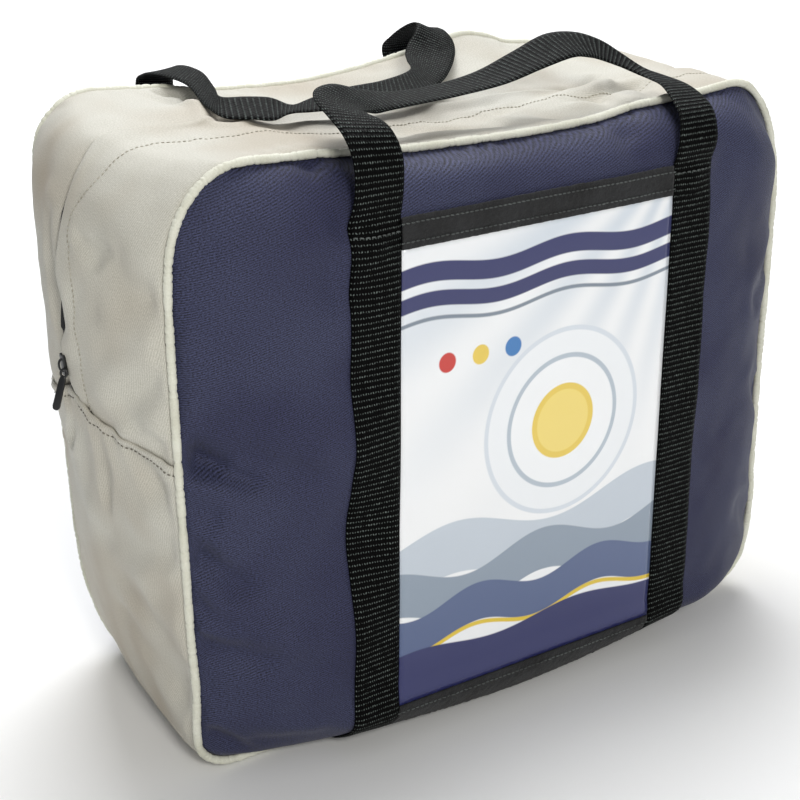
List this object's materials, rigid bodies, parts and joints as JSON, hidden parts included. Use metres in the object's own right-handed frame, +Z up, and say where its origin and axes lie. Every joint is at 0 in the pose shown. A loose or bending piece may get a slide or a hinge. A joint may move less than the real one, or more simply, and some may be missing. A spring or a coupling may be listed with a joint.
{
  "type": "carry bag",
  "caption": "Soft two-tone carry bag, zipped and full, with piped seams, webbing handles and a card pocket on the front.",
  "frame": {"origin": "middle of the box round the whole bag, on the floor it stands on", "axes": "+X to the right along the bag's length, +Y from the front panel to the back panel, +Z up"},
  "size_m": [0.5291, 0.2671, 0.4087],
  "materials": {
    "panel_cloth": "navy woven polyester with a coated back",
    "gusset_cloth": "stone grey woven polyester with a coated back",
    "piping_cloth": "cream cloth sewn tight over a cord",
    "webbing": "black chevron woven webbing",
    "pocket_trim": "black looped binding tape",
    "zip": "black moulded coil zip",
    "card": "satin printed card"
  },
  "bodies": {
    "root": {"front_panel": "panel_cloth", "back_panel": "panel_cloth", "front_piping": "piping_cloth", "back_piping": "piping_cloth", "zip_gusset_front": "gusset_cloth", "zip_gusset_back": "gusset_cloth", "lower_gusset": "gusset_cloth", "zip_chain": "zip", "zip_slider": "zip", "zip_pull": "zip", "front_webbing": "webbing", "back_webbing": "webbing", "pocket_tape": "pocket_trim", "pocket_foot": "pocket_trim", "insert_card": "card"}
  },
  "joints": []
}
